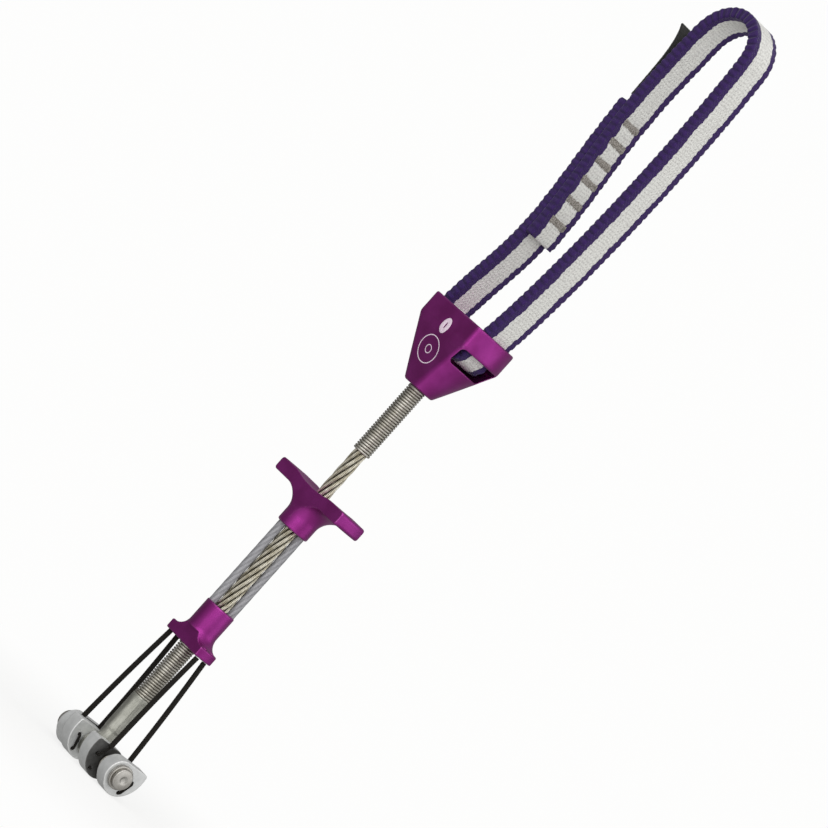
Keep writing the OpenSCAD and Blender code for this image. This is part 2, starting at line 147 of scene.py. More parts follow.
def merge(parts):
    """One mesh from several closed ones."""
    verts, quads, tris, start = [], [], [], 0
    for v, faces in parts:
        verts.append(v)
        for f in faces:
            (quads if f.shape[1] == 4 else tris).append(f + start)
        start += len(v)
    return np.vstack(verts), [np.vstack(g) for g in (quads, tris) if g]


def volume(verts, faces):
    """Six times the volume inside, negative if the faces look inwards."""
    total = 0.0
    for f in faces:
        for k in range(1, f.shape[1] - 1):
            a, b, c = verts[f[:, 0]], verts[f[:, k]], verts[f[:, k + 1]]
            total += float((a * np.cross(b, c)).sum())
    return total


def add_piece(name, shape, material, body=None, replaces=(), attributes=None):
    """A piece from (verts, faces), with its faces turned outwards, on its CAD body."""
    verts, faces = shape
    if volume(verts, faces) < 0:
        faces = [f[:, ::-1] for f in faces]
    mesh = bpy.data.meshes.new(name)
    corners = np.concatenate([f.ravel() for f in faces]).astype(np.int32)
    sizes = np.concatenate([np.full(len(f), f.shape[1]) for f in faces])
    starts = np.concatenate([[0], np.cumsum(sizes)[:-1]]).astype(np.int32)
    mesh.vertices.add(len(verts))
    mesh.vertices.foreach_set("co", ((verts + (0, 0, AXLE_Z)) * MM).astype(np.float32).ravel())
    mesh.loops.add(len(corners))
    mesh.loops.foreach_set("vertex_index", corners)
    mesh.polygons.add(len(sizes))
    mesh.polygons.foreach_set("loop_start", starts)
    mesh.update(calc_edges=True)
    mesh.validate()
    mesh.shade_smooth()
    for key, values in (attributes or {}).items():
        layer = mesh.attributes.new(key, "FLOAT", "POINT")
        layer.data.foreach_set("value", np.asarray(values, np.float32))
    mesh.materials.append(material)
    piece = bpy.data.objects.new(name, mesh)
    bpy.context.scene.collection.objects.link(piece)
    if body:
        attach(piece, body)
    if replaces:
        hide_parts(*replaces)
    return piece


def look(node, shape, material, body, attributes=None):
    """The piece that stands in for one CAD node."""
    return add_piece(node + "_look", shape, material, body, [node], attributes)


def full_turn(count):
    """Evenly spaced angles round a circle."""
    return np.linspace(0, 2 * math.pi, count, endpoint=False)


def tube(path, radius, sides=8, up=(0.0, 0.0, 1.0), dome=False):
    """Closed tube along a path. radius is one number, one per point, or one per ring point."""
    path = np.asarray(path, float)
    radius = np.broadcast_to(np.asarray(radius, float), (len(path),)) if np.ndim(radius) < 2 else radius
    run = unit(np.gradient(path, axis=0))
    if dome:
        lift = np.radians([80.0, 55.0, 28.0])
        r0, r1 = float(np.mean(radius[0])), float(np.mean(radius[-1]))
        path = np.vstack([path[0] - run[0] * (r0 * np.sin(lift))[:, None], path,
                          path[-1] + run[-1] * (r1 * np.sin(lift[::-1]))[:, None]])
        run = np.vstack([run[:1]] * 3 + [run] + [run[-1:]] * 3)
        radius = np.concatenate([r0 * np.cos(lift), radius, r1 * np.cos(lift[::-1])])
    side = unit(np.cross(run, np.asarray(up, float)))
    over = np.cross(side, run)
    angle = full_turn(sides)
    reach = radius[:, None] if np.ndim(radius) == 1 else radius
    rings = path[:, None] + reach[..., None] * (
        np.cos(angle)[None, :, None] * side[:, None] + np.sin(angle)[None, :, None] * over[:, None])
    return skin(rings)


def lathe_x(profile, segments=72):
    """Body turned about the X axis from (x, radius) points."""
    angle = full_turn(segments)
    rings = [np.stack([np.full(segments, x), r * np.cos(angle), r * np.sin(angle)], -1) for x, r in profile]
    return skin(np.array(rings))


def soften(points, reach, steps=6):
    """A path with each inner corner replaced by a short curve."""
    points = [np.asarray(p, float) for p in points]
    path = [points[0]]
    for a, b, c in zip(points, points[1:], points[2:]):
        start = b + unit(a - b) * min(reach, np.linalg.norm(a - b) / 2)
        end = b + unit(c - b) * min(reach, np.linalg.norm(c - b) / 2)
        for t in np.linspace(0, 1, steps):
            path.append((1 - t) ** 2 * start + 2 * t * (1 - t) * b + t * t * end)
    path.append(points[-1])
    keep = [path[0]]
    for p in path[1:]:
        if np.linalg.norm(p - keep[-1]) > 1e-4:
            keep.append(p)
    return np.array(keep)


# ---------------- solid fields


def meet(a, b, r):
    """Distance to where both solids are, with the edge between them rounded by r."""
    return np.minimum(-r, np.maximum(a, b)) + np.hypot(np.maximum(r + a, 0), np.maximum(r + b, 0))


def join(a, b, r):
    """Distance to either solid, with the inner corner between them filled by r."""
    return np.maximum(r, np.minimum(a, b)) - np.hypot(np.maximum(r - a, 0), np.maximum(r - b, 0))


def carve(field, low, high, voxel):
    """Mesh of a field's zero surface inside a box, and how sharply each point is bent outwards."""
    voxel = voxel * COARSE
    low = np.array(low, float) - 3 * voxel
    counts = np.ceil((np.array(high, float) + 3 * voxel - low) / voxel).astype(int) + 1
    x, y, z = (low[k] + voxel * np.arange(counts[k]) for k in range(3))
    distance = field(x[:, None, None], y[None, :, None], z[None, None, :])
    distance = np.broadcast_to(distance, counts).astype(np.float32) / voxel
    grid = vdb.FloatGrid(3.0)
    grid.copyFromArray(np.clip(distance, -3, 3), tolerance=0.0)
    points, quads = grid.convertToQuads(0.0)
    points = low + np.asarray(points, float) * voxel
    probe = 0.02

    def slope(p):
        return np.stack([field(*(p + d).T) - field(*(p - d).T) for d in probe * np.eye(3)], -1) / (2 * probe)

    for _ in range(3):
        g = slope(points)
        step = (field(*points.T) / np.maximum((g ** 2).sum(-1), 0.3))[:, None] * g
        size = np.linalg.norm(step, axis=-1, keepdims=True)
        points = points - step * np.minimum(1.0, 0.4 * voxel / np.maximum(size, 1e-9))
    reach = 0.15
    bend = sum(field(*(points + d).T) + field(*(points - d).T) for d in reach * np.eye(3))
    bend = bend / reach ** 2
    return (points, [np.asarray(quads, np.int64)]), np.clip(bend / 2.2, 0.0, 1.0)


def polygon_distance(corners, u, v):
    """Distance to a polygon's edge, negative inside."""
    best, inside = 1e9, False
    for (au, av), (bu, bv) in zip(corners, np.roll(corners, -1, axis=0)):
        eu, ev = bu - au, bv - av
        pu, pv = u - au, v - av
        t = np.clip((pu * eu + pv * ev) / (eu * eu + ev * ev), 0, 1)
        best = np.minimum(best, (pu - eu * t) ** 2 + (pv - ev * t) ** 2)
        if ev != 0:
            inside = inside ^ (((av > v) != (bv > v)) & (pu < eu * pv / ev))
    return np.where(inside, -1.0, 1.0) * np.sqrt(best)


def cable_sockets(x, y):
    """Distance to the two round holes that take the trigger cables."""
    cx, cy = CABLE_PLACE
    return np.minimum(np.hypot(x - cx, y - cy), np.hypot(x + cx, y + cy)) - CABLE_R - 0.05


def block_field(x, y, z):
    """Thumb block: a cone with two flats, a window at each side and a mouth for each strand."""
    wall, window_z, window_half = 0.6, 13.75, 2.55
    mouth_low, mouth_x, mouth_lean, mouth_half, mouth_deep = 15.3, 8.95, 0.246, 1.55, 5.3
    bore_top = 10.4
    z = z - BLOCK_Z
    r = np.hypot(x, y)
    cone_run = (BLOCK_R - BLOCK_FOOT_R) / CONE_H
    cone = (r - BLOCK_FOOT_R - cone_run * z) / math.hypot(1, cone_run)
    half = (np.abs(y) - BLOCK_FLAT[0] - BLOCK_LEAN * z) / math.hypot(1, BLOCK_LEAN)
    flats = meet(half, np.abs(y) - BLOCK_FLAT[1], 0.4)
    body = meet(meet(cone, r - BLOCK_R, 0.4), flats, 0.7)
    body = meet(meet(body, z - BLOCK_H, 0.6), -z, 0.5)
    passage = meet(flats + wall, np.abs(z - window_z) - window_half, 1.1)
    bar = meet(SADDLE[1] - SADDLE[2] - z, np.abs(x) - SADDLE[0] - SADDLE[2], SADDLE[2])
    middle = mouth_x + mouth_lean * np.maximum(z - SADDLE[1], 0)
    mouth = np.maximum(np.abs(np.abs(x) - middle) - mouth_half, mouth_low - z)
    strands = meet(mouth, np.abs(y) - mouth_deep, 0.4)
    body = meet(body, -join(meet(passage, -bar, 0.1), strands, 0.3), 0.3)
    return meet(body, -np.maximum(r - STEM_BORE_R, z - bore_top), 0.25)


def bar_field(x, y, z):
    """Finger bar: a hub that flares into two wings, with a shallow round dish in the top."""
    hub_r, wing_low, flare, half_w = 5.0, 9.2, 5.4, 5.05
    ball_r, dish_deep = 42.2, 1.24
    bore_r, socket_top = 2.1, 6.4
    z = z - BAR_Z
    r = np.hypot(x, y)
    body = meet(join(r - hub_r, wing_low - z, flare), r - BAR_R, 0.9)
    body = meet(meet(body, -z, 0.5), z - BAR_H, 0.9)
    body = meet(body, np.abs(y) - half_w, 0.28)
    dish = ball_r - np.sqrt(x * x + y * y + (z - BAR_H + dish_deep - ball_r) ** 2)
    body = meet(body, dish, 0.2)
    body = meet(body, bore_r - r, 0.3)
    return meet(body, -np.maximum(cable_sockets(x, y), z - socket_top), 0.12)


def collar_field(x, y, z):
    """Trigger collar: a sleeve that flares into two ears, each with two holes for cords."""
    sleeve_r, ear_t, flare, ear_half_w, flats_top = 4.6, 2.9, 3.4, 3.4, 5.0
    cord_hole_r, socket_low = 0.78, 9.5
    z = z - COLLAR_Z
    r = np.hypot(x, y)
    body = join(r - sleeve_r, z - ear_t, flare)
    body = meet(meet(body, r - COLLAR_R, 0.5), join(np.abs(y) - ear_half_w, flats_top - z, 0.2), 0.25)
    body = meet(meet(body, -z, 0.45), z - COLLAR_H, 0.45)
    body = meet(body, STEM_BORE_R - r, 0.25)
    cord_holes = np.hypot(np.abs(x) - EAR[0], np.abs(y) - EAR[1]) - cord_hole_r
    body = meet(body, -cord_holes, 0.15)
    return meet(body, -np.maximum(cable_sockets(x, y), socket_low - z), 0.12)


def terminal_field(x, y, z):
    """Swaged terminal: a barrel with faint press marks, on an eye for the axle."""
    marks, mark_deep = 7, 0.13
    r = np.hypot(x, y)
    eye = meet(np.hypot(y, z) - TERMINAL_EYE_R, np.abs(x) - TERMINAL_HALF, 0.35)
    fade = smoothstep((z - 5) / 3) * smoothstep((18.4 - z) / 1.5)
    flutes = mark_deep * (0.5 + 0.5 * np.cos(marks * np.arctan2(y, x))) * fade
    radius = 2.65 + 0.15 * smoothstep(z - 6.6)
    barrel = meet(r - radius + flutes, np.maximum(z - BARREL_TOP, -z), 0.25)
    return meet(join(eye, barrel, 0.7), AXLE_R + 0.02 - np.hypot(y, z), 0.12)


def on_circle(angle):
    return np.stack([np.cos(angle), np.sin(angle)], -1)


def lobe_outline():
    """A lobe's side view: the gripping spiral, its rounded tip and the round back."""
    cam_r, back_r, tip_r, slope = 5.8, 4.5, 0.85, math.tan(math.radians(13.75))
    reference = math.radians(-72)               # where the spiral's radius is cam_r
    low = reference + math.log(back_r / cam_r) / slope
    a = np.linspace(low, math.radians(24), 44)
    cam = (cam_r * np.exp(slope * (a - reference)))[:, None] * on_circle(a)
    tip_centre = np.array([cam[-1, 0] - tip_r, back_r - tip_r])
    tip = tip_centre + tip_r * on_circle(np.radians(np.arange(12, 91, 6)))
    back = back_r * on_circle(np.radians(np.arange(94, 360 + math.degrees(low) - 3, 5)))
    return np.vstack([cam, tip, back])


def lobe_field(middle, side):
    """Field of the lobe with its middle at x = middle. side is the sign of Y its tip points to."""
    outline = lobe_outline()

    def field(x, y, z):
        y = y * side
        flat = polygon_distance(outline, y, z)
        for hy, hz, hr in ((0.0, 0.0, AXLE_R + 0.04), (*HOLE_1, CORD_HOLE_R), (*HOLE_2, CORD_HOLE_R)):
            flat = np.maximum(flat, hr - np.hypot(y - hy, z - hz))
        return meet(flat, np.abs(x - middle) - LOBE_W / 2, 0.28)

    return field


def painted_gap_shade(points, middle):
    """Where a lobe's face turns to the gap with its neighbour: painted shade, near black, for the shadow in
    the gap.
    """
    to_gap = math.copysign(1.0, math.copysign(GAP_X, middle) - middle)
    return smoothstep(((points[:, 0] - middle) * to_gap - LOBE_W / 2 + 0.3) / 0.25)


# ---------------- materials


def put(node, key, value):
    """Link a socket to a node's input, or set the input to a value."""
    if isinstance(value, bpy.types.NodeSocket):
        node.id_data.links.new(value, node.inputs[key])
    else:
        node.inputs[key].default_value = value


def add_node(tree, kind, inputs=None, **props):
    made = tree.nodes.new(kind)
    for key, value in props.items():
        setattr(made, key, value)
    for key, value in (inputs or {}).items():
        put(made, key, value)
    return made


class Finish:
    """A material's node tree, with short calls for the nodes used here. Positions are in mm."""

    def __init__(self, name):
        self.material = bpy.data.materials.new(name)
        self.material.use_nodes = True
        self.tree = self.material.node_tree
        self.tree.nodes.clear()
        self.out = self.tree.nodes.new("ShaderNodeOutputMaterial")
        self.bsdf = self.add("ShaderNodeBsdfPrincipled")
        self.tree.links.new(self.bsdf.outputs[0], self.out.inputs["Surface"])
        coords = self.add("ShaderNodeTexCoord")
        self.place = self.add("ShaderNodeVectorMath", {0: coords.outputs["Object"], 3: 1000.0},
                              operation="SCALE").outputs[0]

    def add(self, kind, inputs=None, **props):
        return add_node(self.tree, kind, inputs, **props)

    def calc(self, operation, *values):
        return self.add("ShaderNodeMath", dict(enumerate(values)), operation=operation).outputs[0]

    def times(self, a, b):
        return self.calc("MULTIPLY", a, b)

    def plus(self, a, b):
        return self.calc("ADD", a, b)

    def ramp(self, value, low, high, to_low=0.0, to_high=1.0):
        return self.add("ShaderNodeMapRange", {"Value": value, "From Min": low, "From Max": high,
                                               "To Min": to_low, "To Max": to_high},
                        interpolation_type="SMOOTHSTEP").outputs[0]

    def read(self, name):
        return self.add("ShaderNodeAttribute", attribute_name=name).outputs["Fac"]

    def split(self):
        return self.add("ShaderNodeSeparateXYZ", {0: self.place}).outputs

    def vector(self, x=0.0, y=0.0, z=0.0):
        return self.add("ShaderNodeCombineXYZ", {0: x, 1: y, 2: z}).outputs[0]

    def noise(self, scale, detail=2.0, place=None, rough=0.5):
        return self.add("ShaderNodeTexNoise", {"Vector": place or self.place, "Scale": scale,
                                               "Detail": detail, "Roughness": rough}).outputs["Fac"]

    def mix(self, share, a, b):
        made = self.add("ShaderNodeMix", {0: share}, data_type="RGBA")
        for key, value in ((6, a), (7, b)):
            put(made, key, value if isinstance(value, bpy.types.NodeSocket) else (*value, 1.0))
        return made.outputs[2]

    def bump(self, height, depth, under=None):
        """Bump whose full height is depth mm."""
        made = self.add("ShaderNodeBump", {"Height": height, "Strength": 1.0, "Distance": depth * MM})
        if under:
            put(made, "Normal", under)
        return made.outputs[0]

    def set(self, **inputs):
        names = {"color": "Base Color", "metal": "Metallic", "rough": "Roughness", "normal": "Normal",
                 "sheen": "Sheen Weight", "sheen_rough": "Sheen Roughness",
                 "specular": "Specular IOR Level", "coat": "Coat Weight", "coat_rough": "Coat Roughness"}
        for key, value in inputs.items():
            if isinstance(value, tuple):
                value = (*value, 1.0)
            put(self.bsdf, names[key], value)
        return self.material


def anodise():
    """Purple oxide on turned alloy, thinner along the edges, under a faint clear layer."""
    f = Finish("purple_anodise")
    x, y, z = f.split()
    radius = f.calc("SQRT", f.plus(f.times(x, x), f.times(y, y)))
    lines_per_mm = 7.0                          # turning marks
    turned = f.noise(1.0, 3.0, f.vector(f.times(radius, lines_per_mm), 0.0, f.times(z, lines_per_mm)))
    cloud = f.noise(0.16, 3.0)
    grain = f.noise(11.0, 2.0)
    tone = f.mix(f.ramp(cloud, 0.35, 0.68), (0.28, 0.020, 0.215), (0.355, 0.032, 0.285))
    tone = f.mix(f.ramp(grain, 0.3, 0.75, 0.0, 0.18), tone, (0.27, 0.018, 0.20))
    patches = f.ramp(f.noise(1.3, 4.0), 0.40, 0.70, 0.0, 0.14)
    wear = f.times(f.ramp(f.read("edge"), 0.45, 1.0), patches)
    tone = f.mix(wear, tone, (0.66, 0.33, 0.60))
    rough = f.plus(f.ramp(grain, 0.2, 0.8, 0.34, 0.44), f.times(turned, 0.06))
    normal = f.bump(turned, 0.012, f.bump(grain, 0.010))
    return f.set(color=tone, metal=0.95, rough=rough, normal=normal, coat=0.2, coat_rough=0.35)


def metal(name, color, dark, rough, grain_scale=6.0, depth=0.01, streak=None, wear=None, shine=1.0):
    """Bare metal: cloudy tone and fine grain, with streaks along one axis if streak is given.

    With a wear colour the edges are rubbed bright, and faces turned to a gap get painted shade, near black.
    """
    f = Finish(name)
    grain = f.noise(grain_scale, 3.0)
    cloud = f.noise(0.35, 4.0)
    share = f.ramp(cloud, 0.30, 0.72)
    if streak:
        x, y, z = f.split()
        lined = f.vector(*[f.times(v, k) for v, k in zip((x, y, z), streak)])
        lines = f.noise(1.0, 4.0, lined)
        lined_share = f.times(f.ramp(lines, 0.3, 0.7), 0.5)
        share = f.plus(f.times(share, 0.5), lined_share)
        grain = f.plus(f.times(grain, 0.4), f.times(lines, 0.6))
    tone = f.mix(share, dark, color)
    if wear:
        tone = f.mix(f.times(f.ramp(f.read("edge"), 0.5, 1.0), 0.35), tone, wear)
        # Painted shade: lobe faces that look into the gap between lobes are mixed towards black.
        gap_shade_share = f.times(f.read("painted_gap_shade"), f.ramp(cloud, 0.2, 0.6, 0.97, 0.88))
        tone = f.mix(gap_shade_share, tone, (0.018, 0.016, 0.013))
    return f.set(color=tone, metal=shine, rough=f.ramp(grain, 0.25, 0.75, rough - 0.07, rough + 0.08),
                 normal=f.bump(grain, depth))


def rope_steel():
    """Stem cable: bright wires, with painted shade, brown and dark, down in the grooves between strands."""
    f = Finish("steel_rope")
    grain = f.noise(4.0, 3.0)
    tone = f.mix(f.ramp(f.noise(0.5, 3.0), 0.3, 0.7), (0.58, 0.53, 0.40), (0.92, 0.88, 0.76))
    # Painted shade: the deeper in a groove, the darker the wire.
    tone = f.mix(f.read("groove_shade"), tone, (0.050, 0.042, 0.022))
    return f.set(color=tone, metal=0.95, rough=f.ramp(grain, 0.25, 0.75, 0.30, 0.42),
                 normal=f.bump(grain, 0.004))


def coated():
    """Grey coating of the trigger cables, painted a little paler over each strand and darker between, as
    light and shade.
    """
    f = Finish("coated_cable")
    lay = f.read("lay")
    grain = f.noise(8.0, 2.0)
    # Painted light and shade: the ridges over the strands lighter, the hollows between them darker.
    tone = f.mix(f.ramp(lay, 0.15, 0.75), (0.225, 0.225, 0.24), (0.33, 0.33, 0.35))
    tone = f.mix(f.ramp(f.noise(1.6, 3.0), 0.35, 0.7, 0.0, 0.3), tone, (0.40, 0.40, 0.42))
    return f.set(color=tone, metal=0.15, rough=f.ramp(grain, 0.3, 0.7, 0.36, 0.5), specular=0.5,
                 normal=f.bump(grain, 0.012), coat=0.25, coat_rough=0.3)


def cord_black():
    """Black braided cord with painted shade between the plaits, a little dusty where the fibres stand up."""
    f = Finish("cord_black")
    braid = f.read("braid")
    fuzz = f.noise(9.0, 3.0)
    # Painted shade: the hollows between the plaits are darker than their crests.
    tone = f.mix(f.ramp(braid, 0.1, 0.9), (0.0035, 0.003, 0.0025), (0.012, 0.010, 0.008))
    tone = f.mix(f.ramp(fuzz, 0.45, 0.8, 0.0, 0.5), tone, (0.020, 0.016, 0.012))
    return f.set(color=tone, rough=0.85, sheen=0.05, sheen_rough=0.5, specular=0.2,
                 normal=f.bump(f.plus(fuzz, f.times(f.noise(22.0, 1.0), 0.6)), 0.05))


def webbing():
    """Woven webbing: white middle, violet borders that meet it along a stepped line, and painted shade in the
    hollows of the weave.
    """
    f = Finish("webbing")
    across, along, weave_shade = f.read("across"), f.read("along"), f.read("weave_shade")
    half = f.calc("ABSOLUTE", across)
    steps = f.calc("ABSOLUTE", f.calc("SINE", f.times(along, math.pi / PICOT)))
    border = f.plus(2.70, f.times(steps, 0.22))
    for scale, wander in ((2.2, 0.4), (0.24, 1.1)):
        off_middle = f.calc("SUBTRACT", f.noise(scale, 2.0), 0.5)
        border = f.plus(border, f.times(off_middle, wander))
    violet = f.calc("GREATER_THAN", half, border)
    lean = f.plus(f.times(along, 5.2), f.times(half, 3.0))
    yarn = f.times(f.calc("SINE", lean), f.calc("SINE", f.times(across, 8.6)))
    fibre_place = f.vector(f.times(across, 14.0), f.times(along, 6.0), f.read("face"))
    fibre = f.noise(1.0, 3.0, fibre_place)
    fuzz = f.noise(6.0, 4.0)
    # Painted shade: hollows of the weave and of the woven bumps along the edges are darker, in the white and
    # in the violet.
    white = f.mix(f.ramp(weave_shade, 0.05, 0.75), (0.50, 0.49, 0.475), (0.80, 0.80, 0.77))
    white = f.mix(f.ramp(yarn, 0.1, 0.9, 0.0, 0.26), white, (0.46, 0.44, 0.42))
    white = f.mix(f.ramp(fuzz, 0.50, 0.74, 0.0, 0.30), white, (0.38, 0.36, 0.35))
    deep = f.mix(f.ramp(weave_shade, 0.05, 0.85), (0.019, 0.007, 0.056), (0.036, 0.011, 0.106))
    deep = f.mix(f.ramp(fibre, 0.50, 0.72, 0.0, 0.7), deep, (0.060, 0.026, 0.150))
    deep = f.mix(f.ramp(fuzz, 0.50, 0.72, 0.0, 0.65), deep, (0.011, 0.005, 0.032))
    white = f.mix(f.ramp(f.noise(1.5, 3.0), 0.48, 0.66, 0.0, 0.30), white, (0.36, 0.34, 0.33))
    tone = f.mix(violet, white, deep)
    height = f.plus(f.times(yarn, 0.45), f.times(fibre, 0.8))
    return f.set(color=tone, rough=0.82, sheen=0.22, sheen_rough=0.4, specular=0.3,
                 normal=f.bump(height, 0.10, f.bump(fuzz, 0.05)))


def thread_grey():
    """Grey sewing thread of the bar tacks."""
    f = Finish("tack_thread")
    ply = f.noise(2.6, 4.0)
    tone = f.mix(f.ramp(ply, 0.36, 0.64), (0.15, 0.135, 0.115), (0.40, 0.37, 0.34))
    return f.set(color=tone, rough=0.7, sheen=0.2, specular=0.35, normal=f.bump(f.noise(16.0, 2.0), 0.05))


def ribbon_black():
    """Plain black woven tape."""
    f = Finish("label_cloth")
    _, y, z = f.split()
    rows = f.calc("SINE", f.times(z, 16.0))
    yarns = f.calc("SINE", f.times(y, 19.0))
    woven = f.times(rows, yarns)
    tone = f.mix(f.ramp(woven, -0.6, 0.9), (0.007, 0.007, 0.007), (0.028, 0.027, 0.025))
    return f.set(color=tone, rough=0.75, sheen=0.15, specular=0.3,
                 normal=f.bump(f.plus(woven, f.noise(5.0, 2.0)), 0.04))


def marking():
    """Pale laser marking: bare, slightly pink oxide."""
    f = Finish("laser_mark")
    grain = f.noise(9.0, 3.0)
    tone = f.mix(f.ramp(grain, 0.3, 0.72), (0.70, 0.52, 0.67), (0.93, 0.83, 0.91))
    return f.set(color=tone, rough=0.62, specular=0.4, normal=f.bump(grain, 0.02))


PURPLE = anodise()
STEEL = metal("stainless", (0.52, 0.52, 0.47), (0.33, 0.33, 0.29), 0.38, 7.0, 0.010,
              streak=(5.0, 5.0, 0.5), shine=0.8)
HEAD_STEEL = metal("rivet_steel", (0.60, 0.59, 0.56), (0.38, 0.36, 0.33), 0.34, 6.0, 0.012,
                   streak=(0.6, 4.0, 4.0))
SPRING = metal("spring_steel", (0.58, 0.56, 0.51), (0.40, 0.38, 0.33), 0.42, 9.0, 0.006)
ROPE = rope_steel()
LOBE = metal("lobe_alloy", (0.72, 0.73, 0.73), (0.62, 0.63, 0.63), 0.5, 5.0, 0.014,
             wear=(0.84, 0.84, 0.83), shine=0.5)
COATED = coated()
CORD = cord_black()
WEBBING = webbing()
TACK = thread_grey()
RIBBON = ribbon_black()
MARK = marking()

# ---------------- turned and milled parts

for name, field, half, (base, top), voxel, body in (
    ("thumb_block", block_field, (BLOCK_R, BLOCK_FLAT[1]), (BLOCK_Z, BLOCK_TOP), 0.19, "stem"),
    ("finger_bar", bar_field, (BAR_R, 5.1), (BAR_Z, BAR_Z + BAR_H), 0.16, "trigger"),
    ("trigger_collar", collar_field, (COLLAR_R, 4.6), (COLLAR_Z, COLLAR_Z + COLLAR_H), 0.14, "trigger"),
):
    shape, edge = carve(field, (-half[0], -half[1], base), (*half, top), voxel)
    look(name, shape, PURPLE, body, {"edge": edge})

shape, edge = carve(terminal_field, (-TERMINAL_HALF, -TERMINAL_EYE_R, -TERMINAL_EYE_R),
                    (TERMINAL_HALF, TERMINAL_EYE_R, BARREL_TOP), 0.13)
look("stem_terminal", shape, STEEL, "stem", {"edge": edge})

for key, (sx, sy) in SIDES.items():
    middle = LOBE_X[key]
    low_y, high_y = sorted((-4.6 * sy, 8.6 * sy))
    low, high = (middle - LOBE_W / 2, low_y, -5.6), (middle + LOBE_W / 2, high_y, 4.6)
    shape, edge = carve(lobe_field(middle, sy), low, high, 0.13)
    # The lobe's faces towards the gap carry a mask of painted shade.
    look("cam_lobe_" + key, shape, LOBE, "lobe_" + key,
         {"edge": edge, "painted_gap_shade": painted_gap_shade(shape[0], middle)})


def rivet_profile():
    """(x, radius) of the axle from its middle to its formed head."""
    head_r, edge = 3.1, 0.42
    a = np.radians(np.arange(0, 91, 15))
    inner = AXLE_HALF - RIVET_T
    points = [(0.0, AXLE_R), (inner, AXLE_R), (inner, head_r - 0.15), (inner + 0.15, head_r)]
    points += [(AXLE_HALF - 0.12 - edge + edge * math.sin(t), head_r - edge + edge * math.cos(t)) for t in a]
    # The pressed end: a shallow rim around a dimple.
    points += [(AXLE_HALF - 0.05, 2.0), (AXLE_HALF, 1.35), (AXLE_HALF - 0.02, 1.15),
               (AXLE_HALF - 0.16, 0.9), (AXLE_HALF - 0.2, 0.45), (AXLE_HALF - 0.2, 0.05)]
    return points


half_axle = rivet_profile()
profile = [(-x, r) for x, r in half_axle[:0:-1]] + half_axle[1:]
look("axle", lathe_x(profile), HEAD_STEEL, "stem")

washers = []
for s in (-1, 1):
    low, high = OUTER_X + LOBE_W + 0.05, AXLE_HALF - RIVET_T
    rim = [(0.0, WASHER_R - 0.2), (0.06, WASHER_R - 0.05), (0.2, WASHER_R)]
    ring = [(low, AXLE_R + 0.02)] + [(low + x, r) for x, r in rim]
    ring += [(high - x, r) for x, r in rim[::-1]] + [(high, AXLE_R + 0.02)]
    angle = full_turn(72)
    rings = np.array([[(s * x, r * math.cos(t), r * math.sin(t)) for x, r in ring] for t in angle])
    washers.append(skin(rings, closed=True))
look("end_washers", merge(washers), HEAD_STEEL, "stem")

# ---------------- springs and cables


def helix(radius, low, high, turns, points=36, axis="z", hand=1):
    """Centre line of a close-wound coil along Z, or along X if axis is x."""
    t = np.linspace(0, 1, int(turns * points) + 1)
    flat = 0.9 / turns                          # the ground turn at each end
    climb = np.clip((t - flat) / (1 - 2 * flat), 0, 1)
    a = hand * 2 * math.pi * turns * t
    c, s, h = radius * np.cos(a), radius * np.sin(a), low + (high - low) * climb
    return np.stack([c, s, h] if axis == "z" else [h, c, s], -1)


WIRE_R = 0.34
COIL_R = 2.36                                   # to the middle of the wire
LOWER_TURNS, UPPER_TURNS = 33, 30
for name, low, turns in (("lower_coil", BARREL_TOP, LOWER_TURNS),
                         ("upper_coil", BLOCK_Z - UPPER_TURNS * COIL_PITCH, UPPER_TURNS)):
    top = low + turns * COIL_PITCH
    path = helix(COIL_R, low + WIRE_R, top - WIRE_R, turns)
    look(name, tube(path, WIRE_R, 8, dome=True), SPRING, "stem")

springs = []
spring_r, spring_half, spring_wire_r = 2.76, 0.66, 0.28
for s in (-1, 1):
    path = helix(spring_r, s * GAP_X - spring_half, s * GAP_X + spring_half, 3.2, 32, "x", s)
    springs.append(tube(path, spring_wire_r, 8, up=(1, 0, 0), dome=True))
look("torsion_springs", merge(springs), SPRING, "stem")


STRANDS, WIRES = 7, 8
STRAND_PITCH, WIRE_PITCH = 34.0, 15.0
STRAND_OUT, WIRE_OUT = 1.42, 0.405               # axis to a strand's middle, and that to a wire's
ROPE_WIRE_R = 0.172


def upright(z):
    """Points on the Z axis."""
    return np.stack([0 * z, 0 * z, z], -1)


def rope(low, high):
    """Strands of wires around a core; the strands turn one way and their wires the other.

    The second list tells how deep each point lies in the grooves between wires and strands, for the painted
    shade there.
    """
    z = np.arange(low, high + 0.3, 0.55 * COARSE)
    parts, depths = [], []
    for strand in range(STRANDS):
        a = 2 * math.pi * (strand / STRANDS + z / STRAND_PITCH)
        out = np.stack([np.cos(a), np.sin(a), 0 * z], -1)
        side = np.stack([-np.sin(a), np.cos(a), 0 * z], -1)
        centre = STRAND_OUT * out + upright(z)
        parts.append(tube(centre, 0.30, 6, up=(1, 0, 0)))
        for wire in range(WIRES):
            b = 2 * math.pi * (wire / WIRES - z / WIRE_PITCH)
            path = centre + WIRE_OUT * (np.cos(b)[:, None] * out + np.sin(b)[:, None] * side)
            parts.append(tube(path, ROPE_WIRE_R, 6, up=(1, 0, 0)))
        for verts, _ in parts[len(depths):]:
            near = np.clip(np.rint((verts[:, 2] - z[0]) / (z[1] - z[0])).astype(int), 0, len(z) - 1)
            from_strand = np.linalg.norm((verts - centre[near])[:, :2], axis=1)
            from_axis = np.hypot(verts[:, 0], verts[:, 1])
            outside = smoothstep((from_axis - 1.40) / 0.58)
            depths.append(1 - outside * smoothstep((from_strand - 0.40) / 0.15))
    return parts, depths


